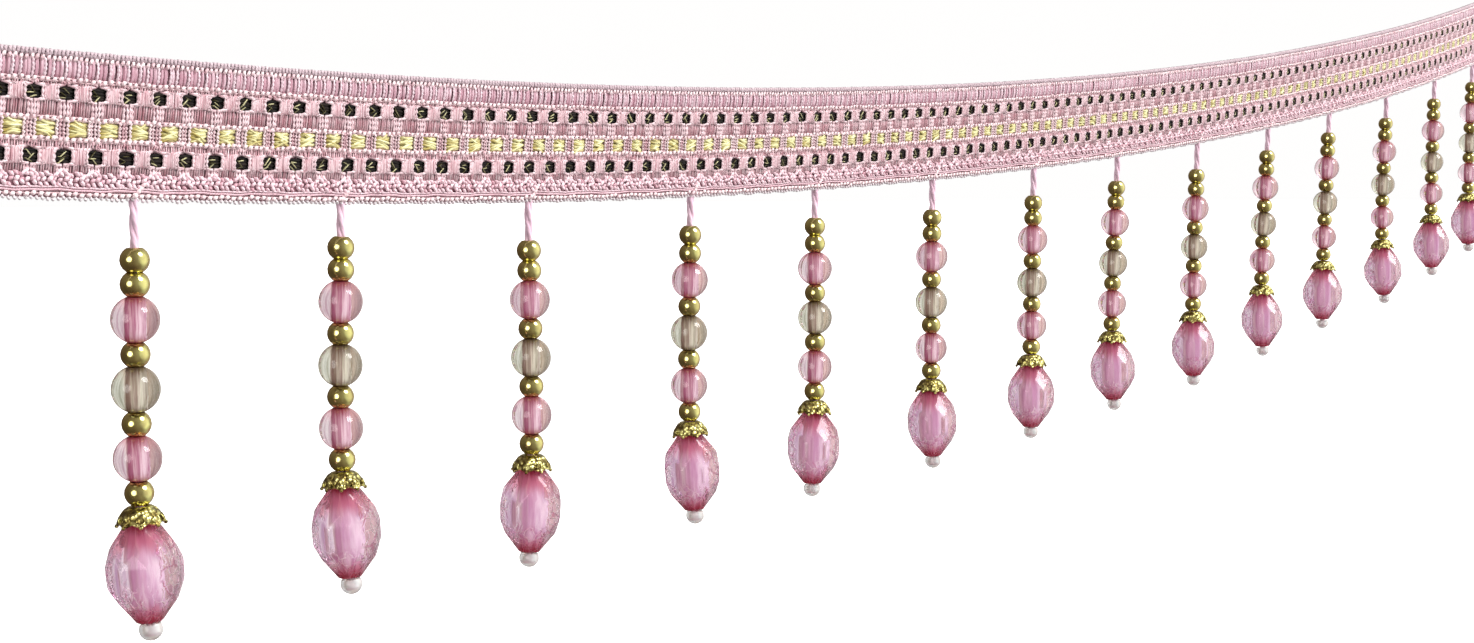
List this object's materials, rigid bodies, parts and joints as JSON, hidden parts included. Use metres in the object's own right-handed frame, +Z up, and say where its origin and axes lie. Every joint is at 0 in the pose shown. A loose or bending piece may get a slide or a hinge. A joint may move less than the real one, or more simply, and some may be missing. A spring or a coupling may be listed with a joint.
{
  "type": "beaded tassel fringe trim",
  "caption": "Hung length of woven pink header tape with evenly spaced bead drops on cords: small gold and clear beads, a flower cap, a faceted pendant and a stopper bead.",
  "frame": {"origin": "middle of the header tape's top edge, in the tape's middle plane", "axes": "+X along the trim to the right as seen from the front, +Y out of the tape's back, +Z up; the bead drops hang down -Z"},
  "size_m": [0.6406, 0.0245, 0.1456],
  "materials": {
    "tape": "dusty pink rayon yarn, satin in its raised bands and matt between them",
    "cord": "pale pink twisted cord and chain-stitched edging",
    "small_beads": "threaded run of small polished beads, gold and clear",
    "gold": "gold-plated plastic, bright, slightly olive",
    "clear_pink": "polished clear pink acrylic, faceted or round",
    "clear_smoke": "polished clear smoke-grey acrylic, round",
    "clear": "polished colourless acrylic",
    "dark_yarn": "blackish-brown metallic yarn with olive glints",
    "yellow_yarn": "pale yellow rayon yarn"
  },
  "bodies": {
    "root": {"header_tape": "tape", "edging_cords": "cord", "beads_01": "small_beads", "cap_01": "gold", "pendant_01": "clear_pink", "stopper_01": "clear", "beads_02": "small_beads", "cap_02": "gold", "pendant_02": "clear_pink", "stopper_02": "clear", "beads_03": "small_beads", "cap_03": "gold", "pendant_03": "clear_pink", "stopper_03": "clear", "beads_04": "small_beads", "cap_04": "gold", "pendant_04": "clear_pink", "stopper_04": "clear", "beads_05": "small_beads", "cap_05": "gold", "pendant_05": "clear_pink", "stopper_05": "clear", "beads_06": "small_beads", "cap_06": "gold", "pendant_06": "clear_pink", "stopper_06": "clear", "beads_07": "small_beads", "cap_07": "gold", "pendant_07": "clear_pink", "stopper_07": "clear", "beads_08": "small_beads", "cap_08": "gold", "pendant_08": "clear_pink", "stopper_08": "clear", "beads_09": "small_beads", "cap_09": "gold", "pendant_09": "clear_pink", "stopper_09": "clear", "beads_10": "small_beads", "cap_10": "gold", "pendant_10": "clear_pink", "stopper_10": "clear", "beads_11": "small_beads", "cap_11": "gold", "pendant_11": "clear_pink", "stopper_11": "clear", "beads_12": "small_beads", "cap_12": "gold", "pendant_12": "clear_pink", "stopper_12": "clear", "beads_13": "small_beads", "cap_13": "gold", "pendant_13": "clear_pink", "stopper_13": "clear", "beads_14": "small_beads", "cap_14": "gold", "pendant_14": "clear_pink", "stopper_14": "clear"}
  },
  "joints": []
}
